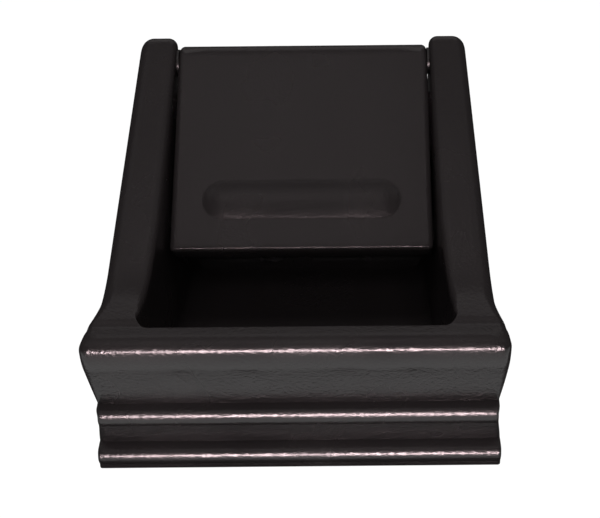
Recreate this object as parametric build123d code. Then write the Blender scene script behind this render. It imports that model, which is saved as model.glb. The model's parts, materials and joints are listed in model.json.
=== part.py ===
from build123d import *
import os
from math import asin, atan2, cos, degrees, hypot, radians, sin, tan

# Moulded tray block with a lift-up flap.  Millimetres, +Z up, front towards -Y.
# The origin is on the supporting surface, under the middle of the overall box.

# ---- housing, overall ----
depth = 135.0              # lip nose to the back of the rear wall
lip_width = 150.0          # across the two ends of the front lip
plinth_width = 147.4       # across the foot of the front moulding
waist_width = 144.0        # across the front moulding just above its upper bead
cheek_width_front = 143.0  # across the cheeks where the lip has died away
cheek_width_back = 136.2   # across the cheeks at the back
wall = 3.0                 # moulded wall
stand = 0.8                # feet lift the moulding this far off the surface

# ---- front moulding, heights above the surface ----
lip_overhang = 4.0         # lip nose ahead of the plinth face
lip_height = 57.0          # top of the front lip
lip_radius = 9.0           # round of the lip, from its nose to its top
lip_under_height = 41.5    # where the cove's hollow turns into the underside of the lip
lip_under_reach = 1.0      # that place, ahead of the plinth face
lip_back = 10.7            # lip nose to the crease at the well
cove_depth = 3.0           # deepest place of the cove behind the plinth face
cove_height = 33.0
cove_foot = 25.0
cove_foot_depth = 0.4
upper_bead_height = 22.4
groove_top = 19.6
groove_depth = 3.2
groove_height = 14.0
groove_foot = 8.2
groove_foot_depth = 0.4
groove_top_depth = 0.6
lower_bead_height = 5.8
bead_reach = 1.0           # bead crests ahead of the plinth face
plinth_strip = 3.2

# ---- arms ----
arm_slope = 34.3           # top line of the arms, degrees
arm_foot = 24.0            # lip nose to where the slope line meets the lip's height
arm_foot_radius = 24.0     # concave sweep at the foot
arm_ramp = 13.5            # from the lip's crease up to the sweep, degrees
arm_ramp_radius = 6.0      # where the ramp leaves the lip's top
arm_end_radius = 6.0
arm_edge_radius = 5.5
lip_end_length = 8.5       # how far back the lip keeps its full width
lip_corner = 2.5           # rounding of the lip's ends
lip_shoulder = 1.2         # drop from the lip's ends to the flare behind them
lip_fade = 24.0            # lip nose to where the flare has died away

# ---- well and bin ----
flap_width = 104.0
flap_side_gap = 1.0
well_width_front = 112.4   # at the crease behind the lip
well_taper = 56.0          # lip nose to where the well has narrowed to the flap
floor_height = 18.0
floor_radius = 6.0
well_corner_radius = 5.0
rear_wall_height = 102.0
rear_wall = 3.0

# ---- hinge and flap ----
hinge_inset = 7.0          # hinge axis ahead of the back of the housing
hinge_height = 117.2
flap_free_y = 62.0         # lip nose to the flap's free edge
flap_free_z = 61.0         # height of the flap's free edge
flap_roll = 7.0            # radius of the flap's top edge about the hinge
flap_wall = 2.5
flap_skirt = 9.0           # depth of the flap's rim
flap_edge_radius = 2.2
flap_corner_radius = 1.6
rod_radius = 2.0
rod_clearance = 0.08
bush_radius = 4.5
bush_length = 7.0
bush_flange_radius = 5.6
bush_flange = 0.8
boss_wall = 2.5
rod_end_gap = 1.0          # rod's end short of the bottom of its bush
fit_gap = 0.02             # between pieces that are pressed together
screw_clearance = 0.2      # round a screw's shank and head
sink_depth_gap = 0.05      # a sunk head below its face
recess_length = 2.4        # cross recess in the screw heads
recess_width = 0.6

# ---- grip on the flap ----
grip_length = 79.0
grip_width = 16.6
grip_height = 2.0
grip_from_edge = 21.2      # flap's free edge to the middle of the grip

# ---- flap backing plate and its screws ----
backing_thickness = 2.0
backing_clearance = 0.3
flap_post_radius = 3.0
flap_screw_radius = 1.1
flap_screw_head = 2.1
flap_screw_head_height = 1.0
flap_screw_length = 5.2
flap_post_inset = 12.0

# ---- flap bumpers ----
bumper_size = 8.0
bumper_thickness = 2.5
bumper_gap = 0.3
ledge_reach = 9.0
ledge_thickness = 3.0
bumper_from_edge = 12.0    # flap's free edge to the middle of the bumper

# ---- ribs behind the front moulding ----
rib_thickness = 2.0
rib_places = (17.0, 41.0)  # either side of the middle

# ---- base plate, screws, feet and inserts ----
base_thickness = 3.0
base_clearance = 0.4
base_corner = 3.0
post_radius = 4.0
post_bore = 1.25
screw_shank = 1.2
screw_head = 2.8
screw_head_height = 1.6
screw_reach = 9.0
post_gap = 0.1
post_span_x = 88.0
post_span_y = 84.0
foot_radius = 6.0
foot_thickness = 2.4
foot_recess = 1.6
foot_span_x = 112.0
foot_span_y = 98.0
span_middle_y = 2.0        # middle of the screws, inserts and feet
insert_span_x = 60.0
insert_span_y = 60.0
insert_bore = 1.65         # tapping size for M4
insert_radius = 2.9
insert_length = 6.0
insert_boss = 5.2

# ---- worked out ----
front = -depth / 2
back = depth / 2
plinth = front + lip_overhang
crease = front + lip_back
well_half = flap_width / 2 + flap_side_gap
hinge_y = back - hinge_inset
free_y = front + flap_free_y
reach = hypot(hinge_y - free_y, hinge_height - flap_free_z)
slope = degrees(atan2(hinge_height - flap_free_z, hinge_y - free_y) + asin(flap_roll / reach))
flap_run = (reach ** 2 - flap_roll ** 2) ** 0.5      # free edge to the foot of the roll
rear_inner = back - rear_wall
base_top = stand + base_thickness
flap_hollow_end = flap_run - flap_roll - 1.5
flap_post_length = flap_skirt - flap_wall - backing_thickness - fit_gap
big = 400.0
low = (Align.CENTER, Align.CENTER, Align.MIN)
high = (Align.CENTER, Align.CENTER, Align.MAX)


def prism_x(face, half):
    """A YZ outline carried across the part, from -half to +half."""
    return extrude(Plane.YZ * face, amount=half, both=True)


def prism_y(face):
    return extrude(Plane.XZ * face, amount=big, both=True)


def cylinder_x(x0, x1, y, z, radius):
    """A round bar along X from x0 to x1."""
    return Pos((x0 + x1) / 2, y, z) * Rot(0, 90, 0) * Cylinder(radius, abs(x1 - x0))


def grid(span_x, span_y):
    """Four places on a rectangle under the base."""
    return [(i * span_x / 2, span_middle_y + j * span_y / 2) for i in (-1, 1) for j in (-1, 1)]


def on_flap(along, lift, across=0.0):
    """A point on the flap: along the slope from its free edge, lifted off its face."""
    a = radians(slope)
    y = free_y + along * cos(a) - lift * sin(a)
    z = flap_free_z + along * sin(a) + lift * cos(a)
    return Vector(across, y, z)


def flap_plane(along, lift, across=0.0):
    a = radians(slope)
    return Plane(on_flap(along, lift, across), x_dir=(1, 0, 0), z_dir=(0, -sin(a), cos(a)))


# ------------------------------------------------------------------ housing
def open_bottom(skin):
    """Cavities run out through the underside, and the outer form stops there."""
    return -10.0 if skin else stand


def side_outline(skin):
    """The housing seen from the side, drawn inside the real outline by skin."""
    foot_y = front + arm_foot
    steep, gentle = tan(radians(arm_slope)), tan(radians(arm_ramp))
    top_z = lip_height + (back - foot_y) * steep
    sweep_y = (steep * foot_y - gentle * crease) / (steep - gentle)
    sweep_z = lip_height + (sweep_y - crease) * gentle
    z0 = open_bottom(skin)
    groove_start = (plinth + groove_foot_depth, groove_foot)
    groove_end = (plinth + groove_top_depth, groove_top)
    cove_start = (plinth + cove_foot_depth, cove_foot)
    cove_middle = (plinth + cove_depth, cove_height)
    lip_under = (plinth - lip_under_reach, lip_under_height)
    lip_nose = (front, lip_height - lip_radius)
    lip_top = (front + lip_radius, lip_height)
    with BuildSketch(Plane.XY) as outline:
        with BuildLine():
            Line((plinth, z0), (plinth, plinth_strip))
            ThreePointArc((plinth, plinth_strip), (plinth - bead_reach, lower_bead_height), groove_start)
            ThreePointArc(groove_start, (plinth + groove_depth, groove_height), groove_end)
            ThreePointArc(groove_end, (plinth - bead_reach, upper_bead_height), cove_start)
            TangentArc(cove_middle, cove_start, tangent=(0, -1))
            hollow = TangentArc(cove_middle, lip_under, tangent=(0, 1))
            TangentArc(lip_under, lip_nose, tangent=hollow % 1)
            TangentArc(lip_nose, lip_top, tangent=(0, 1))
            FilletPolyline([lip_top, (crease, lip_height), (sweep_y, sweep_z), (back, top_z), (back, z0)],
                           radius=[arm_ramp_radius, arm_foot_radius, arm_end_radius])
            Line((back, z0), (plinth, z0))
        make_face()
    face = outline.sketch.face()
    return offset(face, -skin, kind=Kind.INTERSECTION).face() if skin else face


def front_outline(skin):
    """Half-width against height: the ends of the front moulding, seen from the front."""
    z0 = open_bottom(skin)
    plinth_x, waist_x, lip_x = (w / 2 - skin for w in (plinth_width, waist_width, lip_width))
    with BuildSketch(Plane.XY) as outline:
        with BuildLine():
            Line((0, z0), (plinth_x, z0))
            Line((plinth_x, z0), (plinth_x, groove_foot))
            ThreePointArc((plinth_x, groove_foot), (waist_x, cove_foot), (lip_x, lip_height - lip_radius))
            Line((lip_x, lip_height - lip_radius), (lip_x, lip_height + 1))
            Line((lip_x, lip_height + 1), (0, lip_height + 1))
            mirror(about=Plane.YZ)
        make_face()
    return outline.sketch.face()


def top_outline(skin):
    """Half-width against depth: the lip's rounded ends die away into the tapered cheeks."""
    lip_x, front_x, back_x = (w / 2 - skin for w in (lip_width, cheek_width_front, cheek_width_back))
    nose, fade = front + lip_end_length - skin, front + lip_fade
    near, far = front + skin, back - skin
    round_x = max(lip_corner - skin, 0.2)
    with BuildSketch(Plane.XY) as outline:
        with BuildLine():
            Line((0, near), (lip_x - round_x, near))
            JernArc((lip_x - round_x, near), (1, 0), round_x, 90)
            Line((lip_x, near + round_x), (lip_x, nose - lip_shoulder))
            Line((lip_x, nose - lip_shoulder), (lip_x - lip_shoulder, nose))
            cheek = Line((back_x, far), (front_x, fade))
            TangentArc((front_x, fade), (lip_x - lip_shoulder, nose), tangent=cheek % 1)
            Line((0, far), (back_x, far))
            mirror(about=Plane.YZ)
        make_face()
    return outline.sketch.face()


def lip_block(skin):
    """The front moulding with its lip, as far back as the lip's flare runs."""
    block = prism_x(side_outline(skin), big / 2) & prism_y(front_outline(skin))
    block = block & extrude(top_outline(skin), amount=big, both=True)
    return block & Pos(0, front, lip_height - skin - big / 2) * Box(big, 2 * lip_fade, big)


def cheek(side, skin):
    """One cheek with its rounded arm; it starts inside the lip's end."""
    outer = well_half + skin
    x0, x1 = cheek_width_front / 2 - skin, cheek_width_back / 2 - skin
    start, fade = front + lip_end_length, front + lip_fade
    lean = (x0 - x1) / (back - skin - fade)
    plan = Polygon((outer, start), (x0 + lean * (fade - start), start), (x1, back - skin), (outer, back - skin),
                   align=None)
    arm = prism_x(side_outline(skin), big / 2) & extrude(plan, amount=big, both=True)
    top = [e for e in arm.edges() if e.center().Z > lip_height - skin - 0.1 and abs(e.tangent_at(0.5).X) < 0.5]
    arm = fillet(top, arm_edge_radius - skin)
    return arm if side > 0 else mirror(arm, about=Plane.YZ)


def middle(skin):
    """What lies between the cheeks: the floor of the well and the rear wall."""
    low = open_bottom(skin)
    start, end = crease, back - skin
    floor = floor_height - skin
    under = Box(2 * well_half + 4 * wall, end - start, floor - low, align=(Align.CENTER, Align.MIN, Align.MIN))
    solid = Pos(0, start, low) * under
    if not skin:
        rear = Box(2 * well_half + 4, rear_wall, rear_wall_height - low,
                   align=(Align.CENTER, Align.MAX, Align.MIN))
        solid += Pos(0, back, low) * rear
    return solid


def well_space(skin):
    """The open space in front of the bin, or the same space grown by skin."""
    half, half_front = well_half + skin, well_width_front / 2 + skin
    start, narrow = crease - skin, front + well_taper
    plan = Polygon((-half_front, start), (half_front, start), (half, narrow), (half, rear_inner),
                   (-half, rear_inner), (-half, narrow), align=None)
    space = extrude(Plane.XY.offset(floor_height - skin) * plan, amount=big)
    if not skin:
        corners = space.edges().filter_by(Axis.Z).group_by(Axis.Y)[0]
        space = fillet(corners, well_corner_radius)
        space = fillet(space.edges().group_by(Axis.Z)[0], floor_radius)
    return space


def housing():
    outer = lip_block(0) + cheek(1, 0) + cheek(-1, 0)
    body = outer + middle(0) - well_space(0)
    cavity = lip_block(wall) + cheek(1, wall) + cheek(-1, wall) + middle(wall) - well_space(wall)
    body -= cavity
    for x in rib_places:
        for side in (-1, 1):
            rib = Box(rib_thickness, lip_back - wall / 2, lip_height, align=(Align.CENTER, Align.MIN, Align.MIN))
            body += (Pos(side * x, front, base_top + post_gap) * rib) & lip_block(wall / 2)
    for side in (-1, 1):
        boss = cylinder_x(side * well_half, side * (well_half + bush_length + wall),
                          hinge_y, hinge_height, bush_radius + boss_wall)
        body += boss & outer
        body -= cylinder_x(side * (well_half - 1), side * (well_half + bush_length + fit_gap),
                           hinge_y, hinge_height, bush_radius + fit_gap)
        body += bumper_ledge(side)
    for x, y in grid(post_span_x, post_span_y):
        length = floor_height - wall - base_top - post_gap + 0.5
        post = Pos(x, y, base_top + post_gap) * Cylinder(post_radius, length, align=low)
        bore = Pos(x, y, base_top + post_gap) * Cylinder(post_bore, screw_reach, align=low)
        body += post
        body -= bore
    return body


def bumper_ledge(side):
    """A shelf on the inside of a cheek, parallel to the closed flap, that carries a bumper."""
    lift = -flap_skirt - bumper_gap - bumper_thickness
    place = flap_plane(bumper_from_edge, lift, side * (well_half - ledge_reach / 2 + 0.5))
    return place * Box(ledge_reach + 1, bumper_size + 2, ledge_thickness,
                       align=(Align.CENTER, Align.CENTER, Align.MAX))


# ------------------------------------------------------------------ hinge
def hinge_rod():
    half = well_half + bush_length - rod_end_gap
    return cylinder_x(-half, half, hinge_y, hinge_height, rod_radius)


def hinge_bush(side):
    """A flanged nylon bush in the arm, which the end of the rod is pressed into."""
    sleeve = cylinder_x(side * well_half, side * (well_half + bush_length), hinge_y, hinge_height, bush_radius)
    flange = cylinder_x(side * (well_half - bush_flange), side * well_half,
                        hinge_y, hinge_height, bush_flange_radius)
    bore = cylinder_x(side * (well_half - 2), side * (well_half + bush_length + 1),
                      hinge_y, hinge_height, rod_radius + fit_gap)
    return sleeve + flange - bore


# ------------------------------------------------------------------ flap
def flap_box(x_half, along0, along1, lift0, lift1):
    """A block in the flap's own directions: across, along its slope, and off its face."""
    block = Box(2 * x_half, along1 - along0, lift1 - lift0, align=(Align.CENTER, Align.MIN, Align.MIN))
    return flap_plane(along0, lift0) * block


def flap_shell():
    half = flap_width / 2
    pan = flap_box(half, 0, flap_run, -flap_skirt, 0)
    corners = [e for e in pan.edges() if e.length < flap_skirt + 0.1 and e.center().Y < free_y + flap_skirt]
    pan = fillet(corners, flap_corner_radius)
    barrel = cylinder_x(-half, half, hinge_y, hinge_height, flap_roll)
    shell = pan + barrel
    normal = Vector(0, -sin(radians(slope)), cos(radians(slope)))
    face = [f for f in shell.faces() if f.normal_at().dot(normal) > 0.999 and f.area > 1000][0]
    rim = [e for e in face.edges() if e.center().Z < hinge_height - 1 or abs(e.center().X) > half - 2]
    rim = [e for e in rim if not (abs(e.center().X) < 1 and e.center().Z > hinge_height)]
    shell = fillet(rim, flap_edge_radius)
    inner = half - flap_wall
    shell -= flap_box(inner, flap_wall, flap_hollow_end, -flap_skirt - 1, -flap_wall)
    for x, along in flap_posts():
        shell += flap_plane(along, -flap_wall + 0.5, x) * Cylinder(flap_post_radius, flap_post_length + 0.5,
                                                                align=high)
        shell -= flap_plane(along, -flap_wall - flap_post_length, x) * Cylinder(
            flap_screw_radius + fit_gap, flap_screw_length - backing_thickness + flap_screw_head_height, align=low)
    shell += grip()
    return shell - cylinder_x(-half - 1, half + 1, hinge_y, hinge_height, rod_radius + rod_clearance)


def grip():
    """A round-ended ridge across the flap for the fingers to lift by."""
    ball = (grip_width ** 2 / 4 + grip_height ** 2) / (2 * grip_height)
    straight = grip_length - grip_width
    place = flap_plane(grip_from_edge, grip_height - ball)
    ridge = place * Rot(0, 90, 0) * Cylinder(ball, straight)
    for side in (-1, 1):
        ridge += place * Pos(side * straight / 2, 0, 0) * Sphere(ball)
    return ridge & flap_box(grip_length / 2, grip_from_edge - grip_width / 2,
                            grip_from_edge + grip_width / 2, -flap_wall / 2, grip_height + 1)


def flap_posts():
    near, far = flap_wall + flap_post_inset, flap_hollow_end - flap_post_inset
    side = flap_width / 2 - flap_wall - flap_post_inset
    return [(x, along) for x in (-side, side) for along in (near, far)]


def flap_backing():
    """The plate that closes the underside of the flap."""
    gap = backing_clearance
    plate = flap_box(flap_width / 2 - flap_wall - gap, flap_wall + gap, flap_hollow_end - gap,
                     -flap_skirt, -flap_skirt + backing_thickness)
    for x, along in flap_posts():
        hole = Cylinder(flap_screw_radius + screw_clearance, backing_thickness + 2)
        sink = Cylinder(flap_screw_head + screw_clearance, flap_screw_head_height + sink_depth_gap, align=low)
        plate -= flap_plane(along, -flap_skirt + backing_thickness / 2, x) * hole
        plate -= flap_plane(along, -flap_skirt, x) * sink
    return plate


def flap_screws():
    screws = []
    for x, along in flap_posts():
        place = flap_plane(along, -flap_skirt, x)
        head = Cylinder(flap_screw_head, flap_screw_head_height, align=low)
        shank = Cylinder(flap_screw_radius, flap_screw_length, align=low)
        screws.append(place * (head + shank - cross_recess(flap_screw_head_height * 0.7)))
    return Compound(children=screws)


def cross_recess(deep):
    slot = Box(recess_length, recess_width, deep, align=low)
    return slot + Rot(0, 0, 90) * slot


def flap_bumper(side):
    lift = -flap_skirt - bumper_gap - bumper_thickness + fit_gap
    place = flap_plane(bumper_from_edge, lift, side * (well_half - bumper_size / 2 - 0.5))
    pad = Box(bumper_size, bumper_size, bumper_thickness - fit_gap, align=low)
    return place * fillet(pad.edges().group_by(Axis.Z)[-1], 0.8)


# ------------------------------------------------------------------ base
def base_plate():
    inset = wall + base_clearance
    plan = extrude(top_outline(inset), amount=base_thickness)
    band = Box(plinth_width - 2 * inset, back - plinth - 2 * inset, base_thickness,
               align=(Align.CENTER, Align.MIN, Align.MIN))
    plate = plan & (Pos(0, plinth + inset, 0) * band)
    plate = Pos(0, 0, stand) * fillet(plate.edges().filter_by(Axis.Z).group_by(Axis.Y)[-1], base_corner)
    for x, y in grid(insert_span_x, insert_span_y):
        plate += Pos(x, y, stand) * Cylinder(insert_boss, insert_length + 1, align=low)
        plate -= Pos(x, y, 0) * Cylinder(insert_radius + fit_gap, insert_length + stand + fit_gap, align=low)
    for x, y in grid(post_span_x, post_span_y):
        plate -= Pos(x, y, 0) * Cylinder(screw_shank + 0.3, 2 * base_top, align=low)
        sink = Cylinder(screw_head + screw_clearance, screw_head_height + sink_depth_gap, align=low)
        plate -= Pos(x, y, stand) * sink
    for x, y in grid(foot_span_x, foot_span_y):
        plate -= Pos(x, y, stand) * Cylinder(foot_radius + 0.1, foot_recess, align=low)
    return plate


def base_screws():
    screws = []
    for x, y in grid(post_span_x, post_span_y):
        head = Cylinder(screw_head, screw_head_height, align=low)
        shank = Cylinder(screw_shank, base_thickness + screw_reach - 1, align=low)
        screws.append(Pos(x, y, stand) * (head + shank - cross_recess(screw_head_height * 0.7)))
    return Compound(children=screws)


def mount_inserts():
    """Knurled brass inserts pressed into the underside."""
    ring = Cylinder(insert_radius, insert_length, align=low)
    groove = Cylinder(insert_radius + 1, 1.0, align=low) - Cylinder(insert_radius - 0.4, 1.0, align=low)
    ring = ring - Pos(0, 0, insert_length / 2 - 0.5) * groove - Cylinder(insert_bore, insert_length, align=low)
    return Compound(children=[Pos(x, y, stand) * ring for x, y in grid(insert_span_x, insert_span_y)])


def foot(x_side, y_side):
    pad = Cylinder(foot_radius, foot_thickness - fit_gap, align=low)
    pad = fillet(pad.edges().group_by(Axis.Z)[0], 0.5)
    return Pos(x_side * foot_span_x / 2, span_middle_y + y_side * foot_span_y / 2, 0) * pad


parts = {
    "housing": housing(),
    "hinge_rod": hinge_rod(),
    "hinge_bush_left": hinge_bush(-1),
    "hinge_bush_right": hinge_bush(1),
    "flap_shell": flap_shell(),
    "flap_backing": flap_backing(),
    "flap_screws": flap_screws(),
    "flap_bumper_left": flap_bumper(-1),
    "flap_bumper_right": flap_bumper(1),
    "base_plate": base_plate(),
    "base_screws": base_screws(),
    "mount_inserts": mount_inserts(),
    "foot_front_left": foot(-1, -1),
    "foot_front_right": foot(1, -1),
    "foot_rear_left": foot(-1, 1),
    "foot_rear_right": foot(1, 1),
}

os.makedirs("parts", exist_ok=True)
for name, shape in parts.items():
    export_step(shape, f"parts/{name}.step")
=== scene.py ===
import bpy
import json
import numpy as np
from math import atan2, asin, cos, hypot, pi, radians, sin, tan
from mathutils import Matrix, Vector


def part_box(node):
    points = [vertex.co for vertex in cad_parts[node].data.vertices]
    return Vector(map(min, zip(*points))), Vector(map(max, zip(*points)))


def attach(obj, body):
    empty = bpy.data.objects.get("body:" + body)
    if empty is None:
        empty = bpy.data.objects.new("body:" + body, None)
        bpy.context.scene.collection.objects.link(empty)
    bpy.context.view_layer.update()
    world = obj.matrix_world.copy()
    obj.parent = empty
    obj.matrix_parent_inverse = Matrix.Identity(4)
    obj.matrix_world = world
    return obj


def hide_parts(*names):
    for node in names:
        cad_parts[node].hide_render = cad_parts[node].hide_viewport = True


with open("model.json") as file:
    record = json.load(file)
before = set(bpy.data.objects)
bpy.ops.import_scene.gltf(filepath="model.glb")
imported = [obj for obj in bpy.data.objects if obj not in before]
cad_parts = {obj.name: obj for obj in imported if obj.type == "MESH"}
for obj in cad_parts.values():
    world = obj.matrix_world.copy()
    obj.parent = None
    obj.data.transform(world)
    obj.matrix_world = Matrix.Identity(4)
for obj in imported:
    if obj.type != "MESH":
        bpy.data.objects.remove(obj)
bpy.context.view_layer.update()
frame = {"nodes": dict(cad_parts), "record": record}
mm = 0.001
print("frame loaded:", len(frame["nodes"]), "CAD nodes")


# helpers for surfaces worked out with numpy

def smoothStep(value, start, end):  # 0 before start, 1 after end, an S curve between
    t = np.clip((value - start) / (end - start), 0, 1)
    return t * t * (3 - 2 * t)


def softMin(a, b, blend):  # the lower of a and b, with the corner between them rounded
    gap = np.clip(0.5 + 0.5 * (b - a) / blend, 0, 1)
    return b + (a - b) * gap - blend * gap * (1 - gap)


def softMax(a, b, blend):
    return -softMin(-a, -b, blend)


def tangentArc(start, direction, end, count):
    # arc that leaves start along direction and passes through end: it turns twice the chord's angle
    start, direction, end = (np.asarray(v, float) for v in (start, direction, end))
    direction = direction / np.hypot(*direction)
    chord = end - start
    normal = np.array([-direction[1], direction[0]])
    alpha = atan2(chord @ normal, chord @ direction)
    radius = np.hypot(*chord) / (2 * sin(alpha))
    turn = 2 * alpha * np.linspace(0, 1, count)[:, None]
    points = start + radius * (np.sin(turn) * direction + (1 - np.cos(turn)) * normal)
    return points, cos(2 * alpha) * direction + sin(2 * alpha) * normal


def throughArc(start, through, end, count):
    # circle through three points: leaves start at the chord's angle less the angle held at the middle point
    a, b, c = (np.asarray(v, float) for v in (start, through, end))
    held = atan2(np.cross(b - a, c - b), (b - a) @ (c - b))
    chord = c - a
    angle = atan2(chord[1], chord[0]) - held
    return tangentArc(a, (cos(angle), sin(angle)), c, count)[0]


def joinRuns(*runs):  # one line from several, each starting where the last one ended
    return np.concatenate([runs[0]] + [run[1:] for run in runs[1:]])


def gridFaces(rows, columns, closeRows=False, closeColumns=False, start=0):
    # quads between neighbouring rows and columns of a grid of points
    r = np.arange(rows if closeRows else rows - 1)[:, None]
    c = np.arange(columns if closeColumns else columns - 1)[None, :]
    r2, c2 = (r + 1) % rows, (c + 1) % columns
    corners = np.broadcast_arrays(r * columns + c, r2 * columns + c, r2 * columns + c2, r * columns + c2)
    return np.stack(corners, -1).reshape(-1, 4) + start


def tube(sections, closed=False):
    # closed sections carried along a path, with both ends filled unless the path closes on itself
    rows, columns = sections.shape[:2]
    faces = gridFaces(rows, columns, closeRows=closed, closeColumns=True).tolist()
    if not closed:
        faces.append(list(range(columns)))
        faces.append(list(range((rows - 1) * columns, rows * columns))[::-1])
    return sections.reshape(-1, 3), faces


def makePiece(name, shells, sharpAngle=34):
    # one object from closed shells of (points in mm, faces); each shell is turned to face outwards
    points, faces, start = [], [], 0
    for shellPoints, shellFaces in shells:
        p = np.asarray(shellPoints, float)
        quads = [f for f in shellFaces if len(f) == 4]
        q = p[np.array(quads)]
        # signed volume: a sum over faces of centre . (diagonal x diagonal)
        volume = (q.mean(1) * np.cross(q[:, 2] - q[:, 0], q[:, 3] - q[:, 1])).sum()
        faces += [[start + i for i in (f if volume > 0 else f[::-1])] for f in shellFaces]
        points.append(p)
        start += len(p)
    mesh = bpy.data.meshes.new(name)
    mesh.from_pydata((np.concatenate(points) * mm).tolist(), [], faces)
    mesh.update()
    mesh.polygons.foreach_set("use_smooth", np.ones(len(mesh.polygons), bool))
    mesh.set_sharp_from_angle(angle=radians(sharpAngle))
    piece = bpy.data.objects.new(name, mesh)
    bpy.context.scene.collection.objects.link(piece)
    return piece


def roundedBar(sizeX, sizeY, sizeZ, radius, place, cornerSteps=5):
    # a rounded rectangle, sizeY by sizeZ, carried along x; each end is drawn in by a quarter circle
    angle = np.linspace(0, pi / 2, cornerSteps)
    corners = [(1, 1, 0), (-1, 1, pi / 2), (-1, -1, pi), (1, -1, 1.5 * pi)]
    outline = np.concatenate([np.stack([sy * (sizeY / 2 - radius) + radius * np.cos(angle + a),
                                        sz * (sizeZ / 2 - radius) + radius * np.sin(angle + a)], 1)
                              for sy, sz, a in corners])
    turn = np.linspace(0, pi / 2, cornerSteps)
    step, pull = radius * (1 - np.cos(turn)), radius * (1 - np.sin(turn))
    x = np.concatenate([step - sizeX / 2, [0], sizeX / 2 - step[::-1]])
    shrink = np.concatenate([pull, [0], pull[::-1]])
    scaleY = (sizeY / 2 - shrink) / (sizeY / 2)
    scaleZ = (sizeZ / 2 - shrink) / (sizeZ / 2)
    points = np.stack([np.broadcast_to(x[:, None], (len(x), len(outline))),
                       outline[None, :, 0] * scaleY[:, None], outline[None, :, 1] * scaleZ[:, None]], -1)
    return tube(points + np.asarray(place, float))


# housing
housing = dict(
    wall=3.0, stand=0.8,
    plinthHalf=73.7, waistHalf=71.8, lipHalf=74.4,      # half-widths of the front moulding
    cheekFront=71.3, cheekBack=68.1, flare=4.1, flareRun=22.0,
    lipOverhang=4.0, lipHeight=57.0, lipRound=5.4, lipRise=4.6, lipBack=10.7, lipEndRound=4.0,
    plinthCorner=1.2, lipCorner=3.2,
    armSlope=34.3, armFoot=24.0, endRadius=6.0, armEdge=5.5, innerEdge=3.6, footRise=1.0, footSlope=0.22,
    wellFront=56.2, wellBack=53.0, wellTaper=56.0, wellCorner=5.0,
    floorHeight=18.0, floorRadius=6.0, rearTop=102.0, rearWall=3.0,
    recessRings=((7, 15), (7, 7.6), (3, 6.4)),          # inside of the foot: (inset, height)
    sinkMarks=(17, 41), sinkDepth=0.3,                 # faint hollows over the ribs behind the cove
)
low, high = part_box("housing")
front, back = low.y / mm, high.y / mm
plinth = front + housing["lipOverhang"]
crease = front + housing["lipBack"]


# the moulding's turning points, as (distance behind the plinth face, height), from the foot up
moulding = dict(
    lowBeadFoot=(0, 2.6), lowBeadCrest=(-1.0, 4.9), lowBeadTop=(0.5, 8.4),
    grooveFoot=(4.0, 9.8), grooveMiddle=(2.4, 14.6), grooveTop=(0.5, 19.6),
    highBeadCrest=(-1.0, 23.2), highBeadTop=(0.3, 26.0),
    coveFoot=(3.6, 26.9), coveTop=(-2.13, 44.15), coveTopLean=(0.423, -0.906), nose=(-4.0, 52.4),
)


def mouldingRun(count):
    # the crown moulding from its foot up to the lip's nose:
    # each hollow leans back as it goes down and ends on the ledge of the bead below it
    m = moulding
    foot = np.linspace((0, housing["stand"]), m["lowBeadFoot"], 4)
    lowBead = throughArc(m["lowBeadFoot"], m["lowBeadCrest"], m["lowBeadTop"], count)
    lowLedge = np.linspace(m["lowBeadTop"], m["grooveFoot"], 5)
    groove = throughArc(m["grooveFoot"], m["grooveMiddle"], m["grooveTop"], count)
    highBead = throughArc(m["grooveTop"], m["highBeadCrest"], m["highBeadTop"], count)
    highLedge = np.linspace(m["highBeadTop"], m["coveFoot"], 5)
    cove = tangentArc(m["coveTop"], m["coveTopLean"], m["coveFoot"], 2 * count)[0][::-1]
    under = tangentArc(m["nose"], (0, -1), m["coveTop"], count)[0][::-1]
    return joinRuns(foot, lowBead, lowLedge, groove, highBead, highLedge, cove, under)


def armTop(y):
    # height of the rim and the arms: a flat lip, a small shoulder, a ramp, the straight slope, a round end
    h = housing
    slope, endRadius = tan(radians(h["armSlope"])), h["endRadius"]
    behind = y - plinth
    ramp = (h["lipHeight"] + h["footRise"] * smoothStep(behind, 6.4, 9.6)
            + h["footSlope"] * np.clip(behind - 7.5, 0, None))
    line = h["lipHeight"] + (y - front - h["armFoot"]) * slope
    height = softMax(ramp, line, 4.0)
    endY = back - endRadius
    lineAtEnd = h["lipHeight"] + (endY - front - h["armFoot"]) * slope
    centreZ = lineAtEnd - endRadius / cos(radians(h["armSlope"]))
    crown = centreZ + np.sqrt(np.clip(endRadius**2 - (y - endY)**2, 0, None))
    return np.where(y > endY - endRadius * sin(radians(h["armSlope"])), crown, height)


def sideAtHeight(z):  # half-width of the moulding's ends: plinth, a waist at the upper bead, the lip
    h = housing
    spread = np.sin(pi / 2 * np.clip((z - 24) / 24, 0, 1)) ** 0.95
    return h["plinthHalf"] - (h["plinthHalf"] - h["waistHalf"]) * smoothStep(z, 7, 24) \
        + (h["lipHalf"] - h["waistHalf"]) * spread


def sideAtDepth(y):  # tapered cheek with a flare that grows towards the front
    h = housing
    behind = y - plinth
    share = (behind - h["flareRun"]) / (back - plinth - h["flareRun"])
    taper = h["cheekFront"] - (h["cheekFront"] - h["cheekBack"]) * share
    return taper + h["flare"] * (np.clip(h["flareRun"] - behind, 0, None) / h["flareRun"]) ** 1.5


def outerHalf(y, z):
    return softMin(sideAtHeight(z), sideAtDepth(y), 0.7)


def innerHalf(y):  # half-width of the well: widest at the lip, narrowing to the flap
    h = housing
    t = np.clip((front + h["wellTaper"] - y) / (front + h["wellTaper"] - crease), 0, 1)
    return h["wellBack"] + (h["wellFront"] - h["wellBack"]) * t


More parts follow.
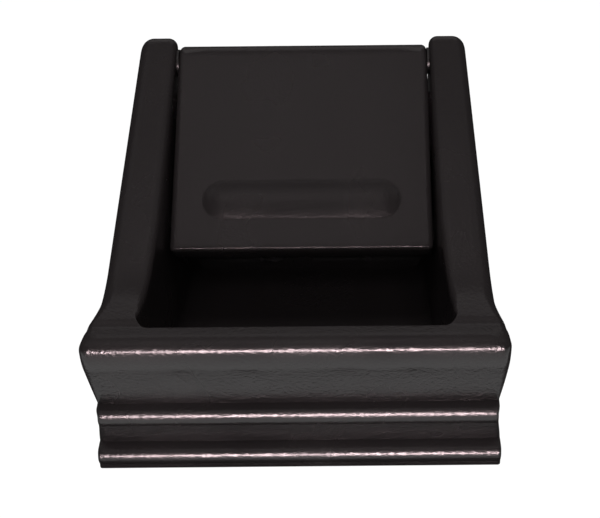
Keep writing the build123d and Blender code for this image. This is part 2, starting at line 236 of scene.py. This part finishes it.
def wallStrip():
    # right half of the wall that runs round the well, as a closed section carried along a path:
    # along the front from the middle, round the corner, and back along the cheek to the arm's end
    h = housing
    nFront, nCorner, nSide = 60, 10, 120
    t = np.concatenate([np.linspace(0, 1, nFront), 1 + np.linspace(0, 1, nCorner + 1)[1:],
                        2 + np.linspace(0, 1, nSide + 1)[1:] ** 1.5])[:, None]
    along = np.clip(t, 0, 1)                     # across the front
    turn = np.clip(t - 1, 0, 1) * pi / 2         # round the corner
    side = np.clip(t - 2, 0, 1)                  # back along the cheek
    stop = back - h["endRadius"]
    onSide = t > 2

    def path(halfFront, yFront, cornerRadius):
        # straight front at yFront, then a quarter circle, then straight back to the arm's end
        cx, cy = halfFront - cornerRadius, yFront + cornerRadius
        x = along * cx + cornerRadius * np.sin(turn)
        y = cy - cornerRadius * np.cos(turn) + side * (stop - cy)
        return x, y, smoothStep(y, cy, cy + 6)

    def edgeHeight(y):  # how tall the rounding at the top of the outer face is
        return h["lipRise"] + (h["armEdge"] - h["lipRise"]) * smoothStep(y, front + 9, front + 26)

    run = mouldingRun(12)
    behind, height = run[None, :, 0], run[None, :, 1]
    share = np.linspace(0, 1, len(run))[None, :]
    cornerRound = h["plinthCorner"] + (h["lipCorner"] - h["plinthCorner"]) * smoothStep(height, 25, 50)
    xs, ys, far = path(sideAtHeight(height), plinth + behind, cornerRound)
    topZ = armTop(ys) - edgeHeight(ys)
    level = h["stand"] + (topZ - h["stand"]) * share
    zs = height + (level - height) * smoothStep(ys, front + 8, front + 50) + 0 * xs
    lift = (topZ - zs[:, -1:]) * (share ** 6) * onSide
    zs = zs + lift
    xs = np.where(onSide, xs + (outerHalf(ys, zs) - xs) * far, xs)
    for place in h["sinkMarks"]:
        hollow = np.exp(-((xs - place) / 4.5) ** 2) * smoothStep(zs, 28, 41) * (1 - smoothStep(zs, 41, 50))
        ys = ys + h["sinkDepth"] * hollow * (t <= 1)
    outer = np.stack([xs, ys, zs], -1)

    # over the lip, or over the arm's outer edge
    bend = np.linspace(0, pi / 2, 16)[None, :]
    inset, rise = 1 - np.cos(bend), np.sin(bend)
    x0, y0, far = path(h["lipHalf"] - h["lipEndRound"] * inset, front + h["lipRound"] * inset,
                       h["lipCorner"] + 3.0 * inset)
    edgeV = edgeHeight(y0)
    edgeH = h["lipEndRound"] + (h["armEdge"] - h["lipEndRound"]) * smoothStep(y0, front + 9, front + 26)
    z0 = armTop(y0) - edgeV * (1 - rise)
    x1 = outerHalf(y0, armTop(y0) - edgeV) - edgeH * inset
    x0 = np.where(onSide, x0 + (x1 - x0) * far, x0)
    over = np.stack([x0, y0, z0], -1)
    over[:, 0] = outer[:, -1]

    # inner edge, inner wall and the fillet at the floor
    halfFront = h["wellFront"]
    cx, cy = halfFront - h["wellCorner"], crease + h["wellCorner"]
    xi = along * cx + h["wellCorner"] * np.sin(turn)
    yi = cy - h["wellCorner"] * np.cos(turn) + side * (stop - cy)
    xi = np.where(onSide, innerHalf(yi) + (halfFront - innerHalf(yi)) * (1 - smoothStep(yi, cy, cy + 3)), xi)
    nx = np.where(onSide, 1.0, np.sin(turn))
    ny = np.where(onSide, 0.0, -np.cos(turn))
    soft = 0.8 + (h["innerEdge"] - 0.8) * smoothStep(yi, crease + 2, crease + 16)
    angle = np.linspace(0, pi / 2, 10)[None, :]
    push = soft * (1 - np.sin(angle))
    edgeY = yi + ny * push
    innerEdge = np.stack([xi + nx * push, edgeY, armTop(edgeY) - soft * (1 - np.cos(angle))], -1)
    drop = np.linspace(0, 1, 22)[None, :]
    wallTop = innerEdge[:, -1:, 2]
    wallFoot = h["floorHeight"] + h["floorRadius"]
    innerWall = np.stack([xi + 0 * drop, yi + 0 * drop, wallTop + (wallFoot - wallTop) * drop], -1)
    pull = h["floorRadius"] * (1 - np.cos(angle))
    filletZ = wallFoot - h["floorRadius"] * np.sin(angle) + 0 * xi
    fillet = np.stack([xi - nx * pull, yi - ny * pull, filletZ], -1)

    # the top between the two rounded edges follows the arm's height
    mix = np.linspace(0, 1, 10)[None, 1:-1, None]
    top = over[:, -1:] * (1 - mix) + innerEdge[:, :1] * mix
    top[..., 2] = armTop(top[..., 1])

    # inside the foot there is a recess for the base plate, and the section closes over it
    def footRing(inset, z):
        x, y = outer[:, :1, 0], outer[:, :1, 1]
        x = np.where(onSide, x - inset, np.minimum(x, h["plinthHalf"] - inset))
        return np.stack([x, np.maximum(y, plinth + inset), z + 0 * x], -1)

    lip = footRing(h["wall"], h["stand"])
    recess = [footRing(inset, z) for inset, z in h["recessRings"]]
    under = fillet[:, -1:].copy()
    under[..., 2] = h["floorHeight"] - h["wall"]
    skin = [lip, outer, over[:, 1:], top, innerEdge, innerWall[:, 1:], fillet[:, 1:], under]
    return np.concatenate(skin + recess, 1)


def endCap(section):
    # the arm's end: the last section drawn in by a quarter circle while it moves back
    h = housing
    last = section[-1]
    turn = np.linspace(0, pi / 2, 10)[1:, None]
    middleX = (h["cheekBack"] + h["wellBack"]) / 2
    high = 0.15 + 0.85 * smoothStep(last[None, :, 2], h["rearTop"] - 28, h["rearTop"])
    draw = (h["armEdge"] - 1.5) * (1 - np.cos(turn)) * high
    offset = last[None, :, 0] - middleX
    x = last[None, :, 0] - np.sign(offset) * np.minimum(draw, np.abs(offset))
    y = last[None, :, 1] + h["endRadius"] * np.sin(turn)
    crownDrop = armTop(last[None, :, 1] + 0 * turn) - armTop(np.minimum(y, back - 0.001))
    z = last[None, :, 2] - crownDrop * smoothStep(last[None, :, 2], h["rearTop"], last[:, 2].max())
    return np.stack(np.broadcast_arrays(x, y, z), -1)


def carriedAlongX(outline, halfX, count):  # an outline in depth and height, swept from side to side
    x = np.linspace(-halfX, halfX, count)[:, None]
    return tube(np.stack(np.broadcast_arrays(x, outline[None, :, 0], outline[None, :, 1]), -1))


def slab(halfX, y0, y1, z0, z1, edge):
    # a plate between two depths and two heights, its upper long edges rounded, carried along x
    angle = np.linspace(0, pi / 2, 7)
    rear = np.stack([y1 - edge + edge * np.cos(angle), z1 - edge + edge * np.sin(angle)], 1)
    near = np.stack([y0 + edge - edge * np.sin(angle), z1 - edge + edge * np.cos(angle)], 1)
    outline = np.concatenate([[(y0, z0), (y1, z0)], rear, near])
    return carriedAlongX(outline, halfX, 5)


def coveStrip(halfX, y, z, radius, faceY, floorZ):
    # the fillet between a floor and the wall behind it: a quarter circle with a square back, carried along x
    angle = np.linspace(0, pi / 2, 9)
    curve = np.stack([y - radius + radius * np.sin(angle), z + radius - radius * np.cos(angle)], 1)
    outline = np.concatenate([curve, [(faceY, z + radius), (faceY, floorZ), (y - radius, floorZ)]])
    return carriedAlongX(outline, halfX, 3)


def makeHousing():
    h = housing
    section = wallStrip()
    half = np.concatenate([section, endCap(section)], 0)
    mirrored = half[::-1].copy()
    mirrored[..., 0] *= -1
    shells = [tube(np.concatenate([mirrored[:-1], half], 0))]
    inner = back - h["rearWall"]
    innerX = h["wellBack"] + 1.5
    shells.append(slab(innerX, crease + 1.5, inner + 1, h["floorHeight"] - h["wall"], h["floorHeight"], 0.05))
    shells.append(slab(h["cheekBack"] - 4, inner, back - 0.2, h["stand"], h["rearTop"], 0.9))
    shells.append(coveStrip(innerX, inner, h["floorHeight"], h["floorRadius"], inner + 1, h["floorHeight"] - 1))
    return makePiece("housingShell", shells)


housingPiece = makeHousing()
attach(housingPiece, "tray_body")
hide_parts("housing")
print("housing made:", len(housingPiece.data.polygons), "faces")


# ledges inside the cheeks that the rubber bumpers stand on
flap = dict(
    width=104.0, freeY=62.0, freeZ=61.0, rollRadius=7.0,   # free edge: behind the lip's nose, height
    skirt=9.0, wall=2.5, edgeRadius=2.2, topRadius=7.6,
    rollLead=0.6, footEdge=0.7,
    gripHalf=31.2, gripRadius=8.3, gripHeight=2.0, gripFromEdge=21.2,
    gripZone=9.5,                                          # the finely divided part round the grip
    ledgeReach=9.0, ledgeWidth=10.0, ledgeThickness=3.0,
    bumperThickness=2.5, bumperGap=0.3, bumperFromEdge=12.0,
)
rodLow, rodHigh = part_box("hinge_rod")
hingeY, hingeZ = (rodLow.y + rodHigh.y) / 2 / mm, (rodLow.z + rodHigh.z) / 2 / mm
freeY, freeZ = front + flap["freeY"], flap["freeZ"]
reach = hypot(hingeY - freeY, hingeZ - freeZ)
flapSlope = atan2(hingeZ - freeZ, hingeY - freeY) + asin(flap["rollRadius"] / reach)
flapRun = (reach**2 - flap["rollRadius"] ** 2) ** 0.5


def onFlap(across, along, lift):  # along the closed flap from its free edge, and off its face
    y = freeY + along * cos(flapSlope) - lift * sin(flapSlope)
    z = freeZ + along * sin(flapSlope) + lift * cos(flapSlope)
    return np.stack(np.broadcast_arrays(across, y, z), -1)


def makeLedges():
    f = flap
    lift = -f["skirt"] - f["bumperGap"] - f["bumperThickness"] - f["ledgeThickness"] / 2
    shells = []
    for side in (-1, 1):
        bar, faces = roundedBar(f["ledgeReach"] + 2, f["ledgeWidth"], f["ledgeThickness"], 0.5, (0, 0, 0))
        across = bar[:, 0] + side * (housing["wellBack"] - f["ledgeReach"] / 2 + 1)
        shells.append((onFlap(across, f["bumperFromEdge"] + bar[:, 1], lift + bar[:, 2]), faces))
    return makePiece("bumperLedges", shells)


ledgePiece = makeLedges()
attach(ledgePiece, "tray_body")


# flap
def flapProfile():
    # the flap's section, along and off its face: skirt, rounded front edge, flat top, round back, hollow
    f = flap
    r, skirt, top = f["edgeRadius"], f["skirt"], f["topRadius"]
    rollFrom = flapRun - f["rollLead"]                # where the flat top meets the round back
    angle = np.linspace(0, pi / 2, 9)
    frontEdge = np.stack([r - r * np.cos(angle), -r + r * np.sin(angle)], 1)
    soft = f["footEdge"]
    foot = np.stack([soft - soft * np.sin(angle[::2]), -skirt + soft - soft * np.cos(angle[::2])], 1)
    gripZone = np.linspace(f["gripFromEdge"] - f["gripZone"], f["gripFromEdge"] + f["gripZone"], 58)
    alongTop = np.concatenate([np.linspace(r, gripZone[0], 9)[1:], gripZone[1:],
                               np.linspace(gripZone[-1], rollFrom, 18)[1:]])
    face = np.stack([alongTop, 0 * alongTop], 1)
    round0 = asin((skirt - top) / top)
    turn = np.linspace(pi / 2, -pi - round0, 46)[1:]
    barrel = np.stack([rollFrom + top * np.cos(turn), -top + top * np.sin(turn)], 1)
    hollowEnd = flapRun - f["rollRadius"] - 1.5
    wall = f["wall"]
    under = np.array([(hollowEnd, -skirt), (hollowEnd, -wall), (wall, -wall), (wall, -skirt)])
    outline = np.concatenate([foot, frontEdge, face, barrel, under])
    isUnder = np.zeros(len(outline), bool)
    isUnder[-len(under):] = True
    return outline, isUnder


def makeFlap():
    f = flap
    outline, isUnder = flapProfile()
    # inward normals of the section, from the direction of travel round it
    ahead = np.roll(outline, -1, 0) - np.roll(outline, 1, 0)
    ahead /= np.hypot(ahead[:, 0], ahead[:, 1])[:, None]
    inward = np.stack([ahead[:, 1], -ahead[:, 0]], 1)
    half, inner, r = f["width"] / 2, f["width"] / 2 - f["wall"], f["edgeRadius"]
    edge = half - r * (1 - np.sin(np.linspace(0, pi / 2, 8)))
    gripEnds = np.linspace(f["gripHalf"] - 2, f["gripHalf"] + f["gripZone"], 26)
    right = np.concatenate([np.linspace(0, gripEnds[0], 16), gripEnds[1:], [inner, inner], edge])
    hollow = np.concatenate([np.ones(16 + 25 + 1, bool), np.zeros(1 + len(edge), bool)])
    x = np.concatenate([-right[:0:-1], right])[:, None]
    hollow = np.concatenate([hollow[:0:-1], hollow])[:, None]
    draw = r - np.sqrt(np.clip(r**2 - np.clip(np.abs(x) - (half - r), 0, r) ** 2, 0, None))
    along = outline[None, :, 0] + draw * inward[None, :, 0] * ~isUnder
    lift = outline[None, :, 1] + draw * inward[None, :, 1] * ~isUnder
    lift = np.where(~hollow & isUnder[None], -f["skirt"], lift)
    # grip: a round-ended ridge, one less the square of the distance from its middle line
    away = np.hypot(along - f["gripFromEdge"], np.clip(np.abs(x) - f["gripHalf"], 0, None)) / f["gripRadius"]
    ridge = np.clip(1 - away**2, 0, None)
    lift = lift + f["gripHeight"] * ridge * (np.abs(lift) < 0.01)
    points = onFlap(x + 0 * along, along, lift)
    return makePiece("flapShell", [tube(points)])


flapPiece = makeFlap()
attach(flapPiece, "flap")
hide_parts("flap_shell")
print("flap made:", len(flapPiece.data.polygons), "faces")


# shared shader groups
def newGroup(name, inputs, outputs):
    group = bpy.data.node_groups.new(name, "ShaderNodeTree")
    for label, kind, default in inputs:
        socket = group.interface.new_socket(label, in_out="INPUT", socket_type=kind)
        socket.default_value = default
    for label, kind in outputs:
        group.interface.new_socket(label, in_out="OUTPUT", socket_type=kind)
    nodes = group.nodes
    return group, nodes.new("NodeGroupInput"), nodes.new("NodeGroupOutput")


def addNode(tree, kind, **values):
    node = tree.nodes.new(kind)
    for key, value in values.items():
        if hasattr(node, key):
            setattr(node, key, value)
        else:
            node.inputs[key.replace("_", " ")].default_value = value
    return node


def setRange(node, source, target):  # a Map Range node's two ranges
    node.inputs["From Min"].default_value, node.inputs["From Max"].default_value = source
    node.inputs["To Min"].default_value, node.inputs["To Max"].default_value = target


def makeGrainGroup():
    # spark-eroded mould grain: small rounded pits from a Voronoi and a noise, with a slow drift of gloss
    group, inside, outside = newGroup(
        "mouldGrain", [("Size", "NodeSocketFloat", 2200.0), ("Drift", "NodeSocketFloat", 28.0)],
        [("Height", "NodeSocketFloat"), ("Gloss", "NodeSocketFloat")])
    link = group.links.new
    place = addNode(group, "ShaderNodeTexCoord")
    pits = addNode(group, "ShaderNodeTexVoronoi", feature="SMOOTH_F1")
    fine = addNode(group, "ShaderNodeTexNoise", Detail=3.0, Roughness=0.6)
    slow = addNode(group, "ShaderNodeTexNoise", Detail=2.0)
    for node in (pits, fine, slow):
        link(place.outputs["Object"], node.inputs["Vector"])
    finer = addNode(group, "ShaderNodeMath", operation="MULTIPLY")
    finer.inputs[1].default_value = 0.62
    link(inside.outputs["Size"], finer.inputs[0])
    link(inside.outputs["Size"], pits.inputs["Scale"])
    link(finer.outputs[0], fine.inputs["Scale"])
    link(inside.outputs["Drift"], slow.inputs["Scale"])
    mix = addNode(group, "ShaderNodeMath", operation="MULTIPLY_ADD")
    mix.inputs[1].default_value = 0.6
    link(pits.outputs["Distance"], mix.inputs[0])
    link(fine.outputs["Fac"], mix.inputs[2])
    link(mix.outputs[0], outside.inputs["Height"])
    link(slow.outputs["Fac"], outside.inputs["Gloss"])
    return group


def makeWearGroup():
    # edge wear: how sharply the surface turns outwards, broken up by noise
    group, inside, outside = newGroup("edgeWear", [("Amount", "NodeSocketFloat", 1.0)],
                                      [("Mask", "NodeSocketFloat")])
    link = group.links.new
    place = addNode(group, "ShaderNodeTexCoord")
    noise = addNode(group, "ShaderNodeTexNoise", Scale=260.0, Detail=4.0)
    link(place.outputs["Object"], noise.inputs["Vector"])
    shape = addNode(group, "ShaderNodeNewGeometry")
    ramp = addNode(group, "ShaderNodeMapRange")
    setRange(ramp, (0.505, 0.56), (0, 1))
    link(shape.outputs["Pointiness"], ramp.inputs["Value"])
    times = addNode(group, "ShaderNodeMath", operation="MULTIPLY")
    link(ramp.outputs["Result"], times.inputs[0])
    link(noise.outputs["Fac"], times.inputs[1])
    scale = addNode(group, "ShaderNodeMath", operation="MULTIPLY", use_clamp=True)
    link(times.outputs[0], scale.inputs[0])
    link(inside.outputs["Amount"], scale.inputs[1])
    link(scale.outputs[0], outside.inputs["Mask"])
    return group


grainGroup = makeGrainGroup()
wearGroup = makeWearGroup()
print("shader groups made")


# materials
finishes = dict(
    blackAbs=dict(dark=(0.0100, 0.0089, 0.0092), light=(0.0130, 0.0117, 0.0120), rough=(0.22, 0.30),
                  grain=1050.0, depth=0.00014, wear=0.5, specular=0.5),
    blackNylon=dict(dark=(0.012, 0.012, 0.012), light=(0.018, 0.018, 0.018), rough=(0.3, 0.4),
                    grain=900.0, depth=0.000006, wear=0.2, specular=0.5),
    rubber=dict(dark=(0.010, 0.010, 0.010), light=(0.016, 0.015, 0.015), rough=(0.7, 0.85),
                grain=1500.0, depth=0.00003, wear=0.3, specular=0.3),
)


def mixColours(tree, factor, a, b):
    node = addNode(tree, "ShaderNodeMix", data_type="RGBA")
    tree.links.new(factor, node.inputs["Factor"])
    node.inputs[6].default_value = (*a, 1)
    node.inputs[7].default_value = (*b, 1)
    return node.outputs[2]


def plasticMaterial(name, finish):
    material = bpy.data.materials.new(name)
    material.use_nodes = True
    tree = material.node_tree
    shader = tree.nodes["Principled BSDF"]
    shader.inputs["Specular IOR Level"].default_value = finish["specular"]
    grain = addNode(tree, "ShaderNodeGroup", node_tree=grainGroup)
    grain.inputs["Size"].default_value = finish["grain"]
    wear = addNode(tree, "ShaderNodeGroup", node_tree=wearGroup)
    wear.inputs["Amount"].default_value = finish["wear"]
    colour = mixColours(tree, grain.outputs["Gloss"], finish["dark"], finish["light"])
    tree.links.new(colour, shader.inputs["Base Color"])
    rough = addNode(tree, "ShaderNodeMapRange")
    setRange(rough, (0.3, 0.7), finish["rough"])
    tree.links.new(grain.outputs["Gloss"], rough.inputs["Value"])
    smoother = addNode(tree, "ShaderNodeMath", operation="MULTIPLY_ADD")
    smoother.inputs[1].default_value = -0.10
    tree.links.new(wear.outputs["Mask"], smoother.inputs[0])
    tree.links.new(rough.outputs["Result"], smoother.inputs[2])
    tree.links.new(smoother.outputs[0], shader.inputs["Roughness"])
    bump = addNode(tree, "ShaderNodeBump", Strength=1.0, Distance=finish["depth"])
    tree.links.new(grain.outputs["Height"], bump.inputs["Height"])
    tree.links.new(bump.outputs["Normal"], shader.inputs["Normal"])
    return material


def metalMaterial(name, colour, rough, stretch, depth):
    # turned or drawn metal: a noise squeezed across the lines gives fine marks in its gloss and its surface
    material = bpy.data.materials.new(name)
    material.use_nodes = True
    tree = material.node_tree
    shader = tree.nodes["Principled BSDF"]
    shader.inputs["Metallic"].default_value = 1.0
    place = addNode(tree, "ShaderNodeTexCoord")
    turn = addNode(tree, "ShaderNodeMapping")
    turn.inputs["Scale"].default_value = stretch
    lines = addNode(tree, "ShaderNodeTexNoise", Scale=1.0, Detail=4.0)
    tree.links.new(place.outputs["Object"], turn.inputs["Vector"])
    tree.links.new(turn.outputs["Vector"], lines.inputs["Vector"])
    darker = tuple(c * 0.72 for c in colour)
    tree.links.new(mixColours(tree, lines.outputs["Fac"], darker, colour), shader.inputs["Base Color"])
    gloss = addNode(tree, "ShaderNodeMapRange")
    setRange(gloss, (0, 1), rough)
    tree.links.new(lines.outputs["Fac"], gloss.inputs["Value"])
    tree.links.new(gloss.outputs["Result"], shader.inputs["Roughness"])
    bump = addNode(tree, "ShaderNodeBump", Strength=0.6, Distance=depth)
    tree.links.new(lines.outputs["Fac"], bump.inputs["Height"])
    tree.links.new(bump.outputs["Normal"], shader.inputs["Normal"])
    return material


blackAbs = plasticMaterial("blackAbs", finishes["blackAbs"])
blackNylon = plasticMaterial("blackNylon", finishes["blackNylon"])
rubber = plasticMaterial("rubber", finishes["rubber"])
brightSteel = metalMaterial("brightSteel", (0.62, 0.62, 0.63), (0.18, 0.34), (300.0, 4000.0, 4000.0), 0.000004)
brass = metalMaterial("brass", (0.78, 0.60, 0.28), (0.22, 0.40), (3000.0, 3000.0, 200.0), 0.00001)

slotMaterials = dict(black_abs=blackAbs, bright_steel=brightSteel, nylon=blackNylon, rubber=rubber, brass=brass)
for part in frame["record"]["subparts"]:
    node = frame["nodes"][part["node"]]
    finish = slotMaterials[part["material_slot"]]
    if not node.material_slots:
        node.data.materials.append(finish)
    for slot in node.material_slots:
        slot.link = "OBJECT"
        slot.material = finish
for piece in (housingPiece, ledgePiece, flapPiece):
    piece.data.materials.append(blackAbs)
print("materials given")


# camera
camera = bpy.data.objects.new("camera", bpy.data.cameras.new("camera"))
bpy.context.scene.collection.objects.link(camera)
bpy.context.scene.camera = camera
camera.data.sensor_width = 36
view = dict(lens=60.55, place=(0.0193, -0.3596, 0.2371), down=27.0, roll=-0.52, shiftX=-0.0845)
camera.data.lens = view["lens"]
camera.data.shift_x = view["shiftX"]
camera.matrix_world = (Matrix.Translation(view["place"]) @ Matrix.Rotation(radians(90 - view["down"]), 4, "X")
                       @ Matrix.Rotation(radians(view["roll"]), 4, "Z"))


# studio
lamps = dict(
    lowFront=dict(place=(0.0, -0.30, 0.029), aim=(0, -0.06, 0.029), size=(0.26, 0.026),
                  power=2.0, colour=(1, 0.78, 0.81), spread=False),
    overhead=dict(place=(-0.10, -0.42, 0.95), aim=(0, 0, 0.09), size=(0.60, 0.45),
                  power=0.18, colour=(1, 0.88, 0.89)),
    fillTop=dict(place=(0, -0.05, 1.1), aim=(0, 0, 0.05), size=(0.6, 0.4),
                 power=0.10, colour=(1, 0.95, 0.95)),
    softFill=dict(place=(0, -0.30, 0.95), aim=(0, 0, 0.03), size=(0.5, 0.3),
                  power=5.0, colour=(1, 0.92, 0.92), mirrored=False),
    wellFill=dict(place=(0, -0.80, 0.58), aim=(0, 0, 0.03), size=(0.5, 0.3),
                  power=6.0, colour=(1, 0.92, 0.92), mirrored=False),
    backTop=dict(place=(0, 0.85, 1.0), aim=(0, 0, 0.03), size=(1.2, 0.7),
                 power=0.7, colour=(1, 0.95, 0.95)),
    sideLeft=dict(place=(-0.62, 0.05, 1.0), aim=(0, 0, 0.03), size=(0.5, 0.5),
                  power=0.12, colour=(1, 0.97, 0.97)),
    sideRight=dict(place=(0.62, 0.05, 1.0), aim=(0, 0, 0.03), size=(0.5, 0.5),
                   power=0.10, colour=(1, 0.97, 0.97)),
)
# the floor is painted light: for light and reflections it glows, more strongly close to the object than far in
# front; the camera sees it evenly white
studio = dict(
    floorWhite=0.05, floorGlow=0.86, farGlow=0.2, glowEnd=(-0.16, -0.11),
    footShadowGlow=0.0, footShadowSpan=(-0.0735, -0.0665),            # painted contact shadow: the paper's glow fades out close to the foot
    roomBack=0.03, roomFront=0.03, roomTop=0.04, cameraWhite=1.0,
)


def areaLight(name, place, aim, size, power, colour, mirrored=True, spread=True):
    lamp = bpy.data.lights.new(name, "AREA")
    lamp.shape = "RECTANGLE"
    lamp.size, lamp.size_y = size
    lamp.energy = power
    lamp.color = colour
    light = bpy.data.objects.new(name, lamp)
    facing = (Vector(aim) - Vector(place)).to_track_quat("-Z", "Y")
    light.matrix_world = Matrix.Translation(place) @ facing.to_matrix().to_4x4()
    light.visible_camera = False
    light.visible_glossy = mirrored  # a soft fill lights the plastic without a highlight of its own
    light.visible_diffuse = spread   # and a strip is there only for the highlights along the beads
    bpy.context.scene.collection.objects.link(light)


for name, lamp in lamps.items():
    areaLight(name, **lamp)

world = bpy.data.worlds.new("studio")
bpy.context.scene.world = world
world.use_nodes = True
tree = world.node_tree
seen = addNode(tree, "ShaderNodeLightPath")
around = addNode(tree, "ShaderNodeTexCoord")
parts = addNode(tree, "ShaderNodeSeparateXYZ")
tree.links.new(around.outputs["Generated"], parts.inputs["Vector"])
frontBack = addNode(tree, "ShaderNodeMapRange")
setRange(frontBack, (0.6, -0.6), (studio["roomBack"], studio["roomFront"]))
tree.links.new(parts.outputs["Y"], frontBack.inputs["Value"])
above = addNode(tree, "ShaderNodeMath", operation="MULTIPLY_ADD", use_clamp=True)
above.inputs[1].default_value = studio["roomTop"]
tree.links.new(parts.outputs["Z"], above.inputs[0])
tree.links.new(frontBack.outputs["Result"], above.inputs[2])
shade = addNode(tree, "ShaderNodeMix", data_type="FLOAT")
tree.links.new(seen.outputs["Is Camera Ray"], shade.inputs["Factor"])
tree.links.new(above.outputs[0], shade.inputs[2])
shade.inputs[3].default_value = studio["cameraWhite"]
tree.links.new(shade.outputs[0], tree.nodes["Background"].inputs["Strength"])
tree.nodes["Background"].inputs["Color"].default_value = (1, 0.94, 0.95, 1)

floor = bpy.data.objects.new("floor", bpy.data.meshes.new("floor"))
floor.data.from_pydata([(-3, -3, 0), (3, -3, 0), (3, 3, 0), (-3, 3, 0)], [], [(0, 1, 2, 3)])
bpy.context.scene.collection.objects.link(floor)
paper = bpy.data.materials.new("paperWhite")
paper.use_nodes = True
tree = paper.node_tree
sheet = tree.nodes["Principled BSDF"]
sheet.inputs["Base Color"].default_value = (studio["floorWhite"],) * 3 + (1,)
sheet.inputs["Roughness"].default_value = 0.9
sheet.inputs["Specular IOR Level"].default_value = 0.0
place = addNode(tree, "ShaderNodeTexCoord")
parts = addNode(tree, "ShaderNodeSeparateXYZ")
tree.links.new(place.outputs["Object"], parts.inputs["Vector"])
# painted pool of light: the paper's glow is stronger close to the object than far in front
near = addNode(tree, "ShaderNodeMapRange", interpolation_type="SMOOTHSTEP")
setRange(near, studio["glowEnd"], (studio["farGlow"], studio["floorGlow"]))
tree.links.new(parts.outputs["Y"], near.inputs["Value"])
# painted contact shadow: the glow fades to nothing close to the foot and stays out under and behind the block
foot = addNode(tree, "ShaderNodeMapRange", interpolation_type="SMOOTHSTEP")
setRange(foot, studio["footShadowSpan"], (1.0, studio["footShadowGlow"]))
tree.links.new(parts.outputs["Y"], foot.inputs["Value"])
glowWithFootShadow = addNode(tree, "ShaderNodeMath", operation="MULTIPLY")
tree.links.new(near.outputs["Result"], glowWithFootShadow.inputs[0])
tree.links.new(foot.outputs["Result"], glowWithFootShadow.inputs[1])
# to the camera the paper is evenly white; only light and reflections see the painted glow and its painted
# shadow
seen = addNode(tree, "ShaderNodeLightPath")
glow = addNode(tree, "ShaderNodeMix", data_type="FLOAT")
tree.links.new(seen.outputs["Is Camera Ray"], glow.inputs["Factor"])
tree.links.new(glowWithFootShadow.outputs[0], glow.inputs[2])
glow.inputs[3].default_value = studio["cameraWhite"]
sheet.inputs["Emission Color"].default_value = (1, 1, 1, 1)
tree.links.new(glow.outputs[0], sheet.inputs["Emission Strength"])
floor.data.materials.append(paper)
bpy.context.scene.view_settings.view_transform = "Standard"
print("camera and studio made")
